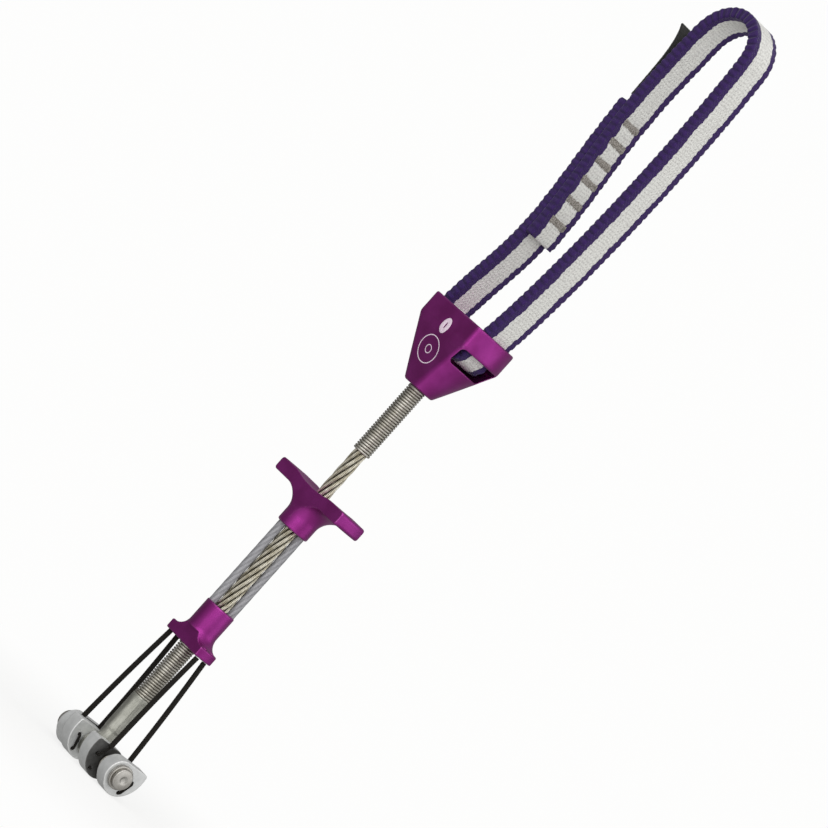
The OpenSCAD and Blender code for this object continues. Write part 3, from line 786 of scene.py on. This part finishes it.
def plain_run(low, high, r, sides=24):
    """Smooth round run of cable, for where it is the core or out of sight."""
    z = np.linspace(low, high, max(3, int((high - low) / 2)))
    return tube(upright(z), r, sides, up=(1, 0, 0), dome=True)


LAID = (42.0, 110.0)                            # the strands show between the two coils
CORE_R, COVERED_R = 0.95, 1.9
laid, grooves = rope(*LAID)
hidden = [plain_run(8, BLOCK_Z + 8, CORE_R), plain_run(8, LAID[0] + 0.6, COVERED_R),
          plain_run(LAID[1] - 0.6, 137, COVERED_R)]
grooves += [np.full(len(verts), 0.5) for verts, _ in hidden]
look("stem_cable", merge(laid + hidden), ROPE, "stem", {"groove_shade": np.concatenate(grooves)})

z = np.arange(COLLAR_Z + 9.7, BAR_Z + 4.01, 0.2 * COARSE)
around = full_turn(36)
lay = 0.5 + 0.5 * np.cos(6 * (around[None] + 2 * math.pi * z[:, None] / 21.0))  # six strands
reach = CABLE_R + 0.030 * lay
for name, s in (("trigger_cable_near", -1), ("trigger_cable_far", 1)):
    path = upright(z) + (s * CABLE_PLACE[0], s * CABLE_PLACE[1], 0)
    shape = tube(path, reach, 36, up=(1, 0, 0))
    values = np.concatenate([lay.ravel(), [0, 0]])
    look(name, shape, COATED, "trigger", {"lay": values})

# ---------------- cords


def braided(path, radius, plaits=7, pitch=5.4, depth=0.05, sides=28):
    """Braided cord and its braid attribute: two families of plaits that cross."""
    length = np.concatenate([[0], np.cumsum(np.linalg.norm(np.diff(path, axis=0), axis=1))])
    around = full_turn(sides)
    turn = 2 * math.pi * length[:, None] / pitch
    one = np.cos(plaits * (around[None] + turn) / 2) ** 2
    two = np.cos(plaits * (around[None] - turn) / 2) ** 2
    braid = np.maximum(one, two)
    return tube(path, radius - depth * (1 - braid), sides, up=(1, 0.2, 0)), braid


ANCHOR_Z = COLLAR_Z - 0.15
CORD_R = 0.75
for key, (sx, sy) in SIDES.items():
    start = np.array([sx * EAR[0], sy * EAR[1], ANCHOR_Z])
    end = np.array([sx * (9.0 if sy > 0 else 8.3), sy * 3.9, 4.0])
    t = np.linspace(0, 1, int(220 / COARSE))[:, None]
    bow = np.array([0.0, sy * 0.25, 0.0]) * np.sin(math.pi * t)
    shape, braid = braided(start + (end - start) * t + bow, CORD_R)
    look("cord_sheath_" + key, shape, CORD, "cord_" + key,
         {"braid": np.concatenate([braid.ravel(), [0.3, 0.3]])})
    hole = np.array([end[0], sy * HOLE_1[0], HOLE_1[1]])
    drop = soften([end + (0, 0, 0.4), end + (0, sy * 0.15, -0.9), hole + (0, 0, 0.6), hole], 0.8)
    shape = tube(drop, THREAD_R, 12, up=(1, 0, 0), dome=True)
    look("cord_thread_" + key, shape, CORD, "cord_" + key,
         {"braid": 0.5 + 0.5 * np.sin(np.arange(len(shape[0])) * 1.7)})

    proud, sunk = 0.36, 0.25                    # the lace stands off one face and ends in the gap
    face = sx * (OUTER_X + LOBE_W + proud if sy > 0 else INNER_X - proud)
    gap = sx * (OUTER_X - sunk if sy > 0 else INNER_X + LOBE_W + sunk)
    corners = [(gap, sy * HOLE_1[0], HOLE_1[1]), (face, sy * HOLE_1[0], HOLE_1[1]),
               (face, sy * HOLE_2[0], HOLE_2[1]), (gap, sy * HOLE_2[0], HOLE_2[1])]
    lace = soften(corners, 0.55)
    tilt = unit(np.cross(np.subtract(corners[2], corners[1]), (1, 0, 0)))
    shape = tube(lace, THREAD_R + 0.04, 14, up=tilt, dome=True)
    look("cord_loop_" + key, shape, CORD, "lobe_" + key,
         {"braid": 0.5 + 0.5 * np.sin(np.arange(len(shape[0])) * 2.1)})

# ---------------- sling


def bezier(p, t):
    """Points of a cubic curve at the shares t."""
    p, t = np.asarray(p, float), np.asarray(t, float)[:, None]
    return (1 - t) ** 3 * p[0] + 3 * t * (1 - t) ** 2 * p[1] + 3 * t * t * (1 - t) * p[2] + t ** 3 * p[3]


def left_of(points):
    """Unit vectors to the left of a path in the XZ plane."""
    run = unit(np.gradient(points, axis=0))
    return np.stack([-run[:, 1], run[:, 0]], -1)


def lean(degrees):
    """Upward unit vector in the XZ plane, leaned towards +X."""
    return np.array([math.sin(math.radians(degrees)), math.cos(math.radians(degrees))])


RIGHT_LEAN, LEFT_LEAN = 5.4, 3.0
t = np.linspace(0, 1, 80)
right_end = BEND + BEND_R * on_circle(math.radians(RIGHT_LEAN))
left_end = BEND + BEND_R * on_circle(math.radians(LEFT_LEAN)) * (-1, 1)
right_points = [(STRAND_X + 0.9, LOOP_LOW), (16.3, 184), right_end - 25 * lean(-RIGHT_LEAN), right_end]
seam_low = np.array([-4.9, OVERLAP[0]])
seam_points = [seam_low, seam_low + (0.3, 14), (-8.2, OVERLAP[1] - 18), (-9.3, OVERLAP[1])]
seam = bezier(seam_points, t)
seam_left = left_of(seam)
outer_layer = seam + LAYER_STEP * seam_left
inner_layer = seam - LAYER_STEP * seam_left
seam_out = unit(seam[-1] - seam[-2])
crossing = bezier([inner_layer[-1], inner_layer[-1] + 9 * seam_out,
                   left_end - 9 * lean(LEFT_LEAN), left_end], t)
seam_in = unit(seam[1] - seam[0])
back_down = bezier([(-STRAND_X + 0.7, LOOP_LOW), (-STRAND_X + 1.8, LOOP_LOW + 8),
                    outer_layer[0] - 8 * seam_in, outer_layer[0]], t)
top_a = np.radians(np.linspace(RIGHT_LEAN, 180 - LEFT_LEAN, 90))
top = BEND + BEND_R * on_circle(top_a)

bend_r = SADDLE[2] + 0.02 + WEB_T / 2
bend_a = np.radians(np.linspace(-90, 0, 16))
right_turn = np.array([SADDLE[0], BLOCK_Z + SADDLE[1]]) + bend_r * on_circle(bend_a)
left_turn = right_turn[::-1] * (-1, 1)
# From the outer layer's end down through the block, up the other strand and round to the inner layer.
line = np.vstack([outer_layer[::-1], back_down[::-1], [(-STRAND_X, BLOCK_TOP)], left_turn, right_turn,
                  [(STRAND_X, BLOCK_TOP)], bezier(right_points, t), top, crossing[::-1], inner_layer[::-1]])


def resample(points, step):
    """Evenly spaced points along a path, and how far along each one is."""
    keep = np.concatenate([[True], np.linalg.norm(np.diff(points, axis=0), axis=1) > 1e-4])
    points = points[keep]
    length = np.concatenate([[0], np.cumsum(np.linalg.norm(np.diff(points, axis=0), axis=1))])
    at = np.linspace(0, length[-1], int(length[-1] / step) + 1)
    return np.stack([np.interp(at, length, points[:, k]) for k in range(points.shape[1])], -1), at


def relax(points, rounds):
    """The path with its corners eased."""
    for _ in range(rounds):
        points = points.copy()
        points[1:-1] = 0.25 * points[:-2] + 0.5 * points[1:-1] + 0.25 * points[2:]
    return points


line, along = resample(line, 0.33 * COARSE)
line = relax(line, 8)
normal = left_of(line)                          # towards the inside of the loop
on_left = line[:, 0] < BEND[0] - 4
in_overlap = (smoothstep((line[:, 1] - OVERLAP[0]) / 2) * on_left
              * smoothstep((OVERLAP[1] + 1 - line[:, 1]) / 2))
tack_z = bezier(seam_points, TACK_T)[:, 1]
pinch = np.exp(-((line[:, 1:2] - tack_z) / 1.9) ** 2).sum(1) * (in_overlap > 0)
outer_half = along < along[-1] / 2              # the layer outside the seam

# Section of the webbing: a flat strip with round edges, as (across, through) and its normal.
edge_r = 0.6
quarter = on_circle(np.linspace(0, math.pi / 2, 8))
flat_u = np.linspace(-(WEB_W / 2 - edge_r), WEB_W / 2 - edge_r, 30)[1:-1]
section, section_n = [], []
for su, sw in ((1, 1), (-1, 1), (-1, -1), (1, -1)):
    q = quarter * (su, sw)
    q = q if su * sw > 0 else q[::-1]
    section += list(np.array([su * (WEB_W / 2 - edge_r), sw * (WEB_T / 2 - edge_r)]) + edge_r * q)
    section_n += list(q)
    if su == sw:
        section += [(u, sw * WEB_T / 2) for u in flat_u[::-su]]
        section_n += [(0, sw)] * len(flat_u)
section, section_n = np.array(section), np.array(section_n, float)
section[:, 1] *= 1 + WEB_PLUMP / WEB_T
su, sw = section[:, 0], section[:, 1]

s = along[:, None]
side_share = smoothstep((np.abs(su) - 4.2) / 0.6)[None]
picot = np.abs(np.sin(math.pi * s / PICOT + (su > 0)[None] * 0.9))
border = smoothstep((np.abs(su) - 2.75) / 0.35)[None]
ribs = np.abs(np.sin(math.pi * s / (PICOT / 2) + 0.5 * np.abs(su)[None]))
columns = np.abs(np.sin(math.pi * (su[None] / 0.84) + 0.25 * np.sin(math.pi * s / 1.03)))
face_weave = 0.55 * ribs + 0.45 * columns
edge_weave = picot * (0.75 + 0.25 * np.abs(np.sin(math.pi * (s * 1.3 + sw[None] * 1.4))))
# How high the weave stands; the material paints shade into its hollows.
weave_shade = face_weave * (1 - side_share) + edge_weave * side_share
push = 0.10 * (face_weave - 0.6) * (1 - side_share) + 0.26 * (picot - 0.40) * side_share
push = push + 0.05 * border * (1 - side_share) * (picot - 0.3)
push = push + 0.03 * rng.standard_normal((len(along), 1)) * side_share

inner_contact = in_overlap[:, None] * np.where(outer_half[:, None], sw[None] > 0.2, sw[None] < -0.2)
push = push * (1 - inner_contact) - 0.02 * inner_contact
squeeze = 1 - 0.24 * pinch[:, None] * (1 - inner_contact) * np.abs(section_n[:, 1])[None]
crown = np.cos(np.clip(su / (WEB_W / 2), -1, 1) * math.pi / 2)[None]
puff = 0.10 * in_overlap[:, None] * (1 - pinch[:, None]) * crown * (1 - inner_contact)
u = su[None] + push * section_n[None, :, 0]
w = sw[None] * squeeze + (push + puff) * section_n[None, :, 1]
end_fade = np.minimum(along, along[-1] - along)
u = u * (1 - 0.03 * np.exp(-end_fade / 0.5))[:, None]
w = w * (1 - 0.18 * np.exp(-end_fade / 0.5))[:, None]
rings = np.stack([line[:, None, 0] + w * normal[:, None, 0], u,
                  line[:, None, 1] + w * normal[:, None, 1]], -1)


def both_ends(values):
    """A value for every point of the webbing's mesh, the middle points of its two ends last."""
    values = np.broadcast_to(values, (len(along), len(su)))
    return np.concatenate([values.ravel(), values[0].mean(keepdims=True), values[-1].mean(keepdims=True)])


sling = add_piece("sling_webbing", skin(rings), WEBBING, None, ["sling_saddle", "sling_loop", "sling_return"],
                  {"across": both_ends(su[None]), "along": both_ends(s),
                              "face": both_ends(sw[None]), "weave_shade": both_ends(weave_shade)})
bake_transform(sling)

# ---------------- stitching and label

STITCHES = 19
STITCH_HALF_W, STITCH_HALF_L = 2.95, 1.22
STITCH_STEPS = ((1.0, -0.22), (0.6, 0.10), (0.0, 0.16), (-0.6, 0.10))  # share of its run, lift off the cloth
tacks = []
for k in TACK_T:
    place = bezier(seam_points, [k])[0]
    run = unit(bezier(seam_points, [k + 0.01])[0] - place)
    out = np.array([-run[1], run[0]])
    for face in (-1, 1):
        surface = face * (WEB_T - 0.18)
        for layer in range(2):
            path = []
            for i in range(STITCHES + 1):
                middle = 2 * STITCH_HALF_W * i / STITCHES - STITCH_HALF_W + (0.08 if layer else -0.08)
                way = 1 if (i + layer) % 2 else -1
                end = STITCH_HALF_L * way * (1 + 0.20 * rng.standard_normal())
                for q, lift in STITCH_STEPS:
                    x, z = place - end * q * run + (surface + face * (lift - 0.03 * layer)) * out
                    path.append((x, middle + 0.12 * (1 - q), z))
            tacks.append(tube(np.array(path), 0.19, 6, up=(out[0] * face + 0.01, 0.02, out[1] * face)))
look("bar_tacks", merge(tacks), TACK, "sling")

tab_foot = inner_layer[-1]
tab = bezier([tab_foot + (-1.65, 2), tab_foot + (-2.15, 13), left_end - (2.3, 6.7), left_end - (6.1, 1.2)],
             np.linspace(0, 1, 60))
tab_n = left_of(tab)
half_w, layer_t = 4.7, 0.22
tab_v = np.linspace(-half_w, half_w, 36)
layers = []
for start in (0.0, 0.29):                       # the tape is folded double
    low = start + 0.02 * np.sin(tab[:, 1] * 2.2)
    high = low + layer_t
    fray = 0.04 * np.sin(np.arange(len(tab)) * 2.3)
    rings = []
    for i in range(len(tab)):
        across = tab_v * (1 + fray[i] / half_w)
        bow = 0.03 * np.cos(tab_v / half_w * math.pi / 2)
        under = tab[i] + (low[i] + bow)[:, None] * tab_n[i]
        over = tab[i] + (high[i] + bow)[:, None] * tab_n[i]
        rings.append(np.vstack([np.column_stack([under[:, 0], across, under[:, 1]]),
                                np.column_stack([over[:, 0], across, over[:, 1]])[::-1]]))
    layers.append(skin(np.array(rings)))
add_piece("label_ribbon", merge(layers), RIBBON, "sling", ["label_tab"])

# ---------------- markings on the block


def on_flat(x, height, level=0.0):
    """A point of the block's -Y flat at a height above the block's underside, raised by level."""
    slope = BLOCK_LEAN if height < CONE_H else 0.0
    half = BLOCK_FLAT[0] + BLOCK_LEAN * min(height, CONE_H)
    out = unit(np.array([0.0, -1.0, -slope]))
    return np.array([x, -half, BLOCK_Z + height]) + level * out


def inlay(x, height, inner, outer, steps=96):
    """Flat ring between two ovals, each (half width, half height), on the -Y flat."""
    edge = 0.05
    rings = []
    for t in full_turn(steps):
        rings.append([on_flat(x + (w + grow) * math.cos(t), height + (h + grow) * math.sin(t), level)
                      for (w, h), grow, level in ((inner, 0, -0.05), (inner, 0, 0.012), (inner, edge, 0.028),
                                                  (outer, -edge, 0.028), (outer, 0, 0.012),
                                                  (outer, 0, -0.05))])
    return skin(np.array(rings), closed=True)


NUMERAL = (0.7, 17.6)                           # x and height of the size mark's middle
TARGET = (-0.1, 9.95)                           # and of the two plain rings
marks = [inlay(*NUMERAL, (0.26, 1.0), (1.72, 2.35)),
         inlay(*TARGET, (3.97, 3.67), (4.27, 3.95)),
         inlay(*TARGET, (1.05, 1.0), (1.32, 1.25))]
add_piece("block_marks", merge(marks), MARK, "stem")

# ---------------- CAD parts that stay

for node, material in (("lobe_spacers", HEAD_STEEL), ("cable_swage", STEEL), ("cable_crimps", STEEL),
                       ("cord_anchors", CORD)):
    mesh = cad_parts[node].data
    mesh.materials.clear()
    mesh.materials.append(material)

# ---------------- stage, light and camera


def pale_floor():
    """White floor that takes a soft shade only close to the object."""
    f = Finish("pale_floor")
    x, y, z = f.split()
    away = f.calc("SQRT", f.plus(f.times(x, x), f.times(y, y)))
    speck = f.noise(0.4, 3.0)
    tone = f.mix(f.ramp(speck, 0.3, 0.7), (0.90, 0.90, 0.895), (0.93, 0.93, 0.925))
    f.set(color=tone, rough=0.9, specular=0.1, normal=f.bump(speck, 0.05))
    glow = f.add("ShaderNodeEmission", {"Color": (0.985, 0.985, 0.98, 1), "Strength": 1.0})
    share = f.ramp(away, 10.0, 170.0, 0.80, 1.0)
    blend = f.add("ShaderNodeMixShader", {0: share, 1: f.bsdf.outputs[0], 2: glow.outputs[0]})
    f.tree.links.new(blend.outputs[0], f.out.inputs["Surface"])
    return f.material


FLOOR_M = 6.0
mesh = bpy.data.meshes.new("floor")
mesh.from_pydata([(x * FLOOR_M, y * FLOOR_M, 0) for x, y in ((-1, -1), (1, -1), (1, 1), (-1, 1))],
                 [], [(0, 1, 2, 3)])
mesh.materials.append(pale_floor())
floor = bpy.data.objects.new("floor", mesh)
bpy.context.scene.collection.objects.link(floor)
floor.visible_glossy = False                    # the studio's own glow is what metal mirrors
floor.visible_diffuse = False

world = bpy.data.worlds.new("studio")
bpy.context.scene.world = world
world.use_nodes = True
tree = world.node_tree
tree.nodes.clear()

DARK_SIDE = (-0.94, -0.34, 0.0)                 # what the block's marked flat mirrors
BRIGHT_SIDE = (0.42, -0.91, 0.0)
PALE_SIDE = (0.97, -0.26, 0.0)
coords = add_node(tree, "ShaderNodeTexCoord").outputs["Generated"]
flattened = add_node(tree, "ShaderNodeVectorMath", {0: coords, 1: (1.0, 1.0, 0.0)}, operation="MULTIPLY")
level_way = add_node(tree, "ShaderNodeVectorMath", {0: flattened.outputs[0]},
                     operation="NORMALIZE").outputs[0]


def towards_side(side, low, high, at_low, at_high, vector=level_way):
    """Strength that changes smoothly as a direction turns towards one side of the studio."""
    share = add_node(tree, "ShaderNodeVectorMath", {0: vector, 1: side}, operation="DOT_PRODUCT")
    return add_node(tree, "ShaderNodeMapRange", {"Value": share.outputs["Value"], "From Min": low,
                                                 "From Max": high, "To Min": at_low, "To Max": at_high},
                    interpolation_type="SMOOTHSTEP").outputs[0]


shade = towards_side(DARK_SIDE, -0.1, 0.65, 0.33, 0.23)
for part in (towards_side(BRIGHT_SIDE, 0.40, 0.80, 0.0, 0.30), towards_side(PALE_SIDE, 0.15, 0.65, 0.0, 0.26),
             towards_side((0.0, 0.0, 1.0), 0.35, 0.95, 0.0, 0.11, coords)):
    shade = add_node(tree, "ShaderNodeMath", {0: shade, 1: part}, operation="ADD").outputs[0]
soft = add_node(tree, "ShaderNodeBackground", {"Color": (1.0, 0.995, 0.98, 1.0), "Strength": shade})
white = add_node(tree, "ShaderNodeBackground", {"Color": (0.985, 0.985, 0.98, 1.0), "Strength": 1.0})
seen = add_node(tree, "ShaderNodeLightPath").outputs["Is Camera Ray"]
either = add_node(tree, "ShaderNodeMixShader", {0: seen, 1: soft.outputs[0], 2: white.outputs[0]})
out = add_node(tree, "ShaderNodeOutputWorld", {"Surface": either.outputs[0]})


def seen_from(azimuth, elevation):
    """Unit vector from the object towards a viewer or a lamp."""
    flat = math.cos(elevation)
    return Vector((math.sin(azimuth) * flat, -math.cos(azimuth) * flat, math.sin(elevation)))


def softbox(name, azimuth, elevation, distance_m, size_m, watts):
    """Square-on area light; azimuth is measured like the camera's."""
    aim = Vector((0.0, 0.0, 0.13))
    away = seen_from(math.radians(azimuth), math.radians(elevation))
    light = bpy.data.lights.new(name, "AREA")
    light.shape = "RECTANGLE"
    light.size, light.size_y = size_m
    light.energy = watts
    lamp = bpy.data.objects.new(name, light)
    lamp.location = aim + away * distance_m
    lamp.rotation_mode = "QUATERNION"
    lamp.rotation_quaternion = (-away).to_track_quat("-Z", "Y")
    bpy.context.scene.collection.objects.link(lamp)


softbox("key", 40, 22, 1.9, (1.6, 1.4), 10.5)
softbox("fill", 125, 12, 1.6, (1.2, 1.2), 3.5)
softbox("top", 20, 75, 1.4, (1.2, 1.2), 5.0)

CAMERA_AZ, CAMERA_EL = math.radians(48.5), math.radians(0.7)
ROLL = math.radians(41.8)
AIM_UP, AIM_SIDE = 123.6, 3.7                   # above the axle, and level to the right
DISTANCE_M = 1.6
FRAME_M = 0.2208                                # width of the view at the object
SENSOR = 36.0

camera_data = bpy.data.cameras.new("camera")
camera = bpy.data.objects.new("camera", camera_data)
bpy.context.scene.collection.objects.link(camera)
level = Vector((math.cos(CAMERA_AZ), math.sin(CAMERA_AZ), 0.0))
back = seen_from(CAMERA_AZ, CAMERA_EL)
rise = back.cross(level)
right = math.cos(ROLL) * level + math.sin(ROLL) * rise
upward = -math.sin(ROLL) * level + math.cos(ROLL) * rise
target = Vector((0, 0, (AXLE_Z + AIM_UP) * MM)) + level * AIM_SIDE * MM
camera_data.sensor_width = SENSOR
camera_data.lens = SENSOR * DISTANCE_M / FRAME_M
turned = Matrix((right, upward, back)).transposed().to_4x4()
camera.matrix_world = Matrix.Translation(target + back * DISTANCE_M) @ turned
camera_data.clip_start, camera_data.clip_end = 0.01, 50.0
bpy.context.scene.camera = camera
bpy.context.scene.view_settings.view_transform = "Standard"
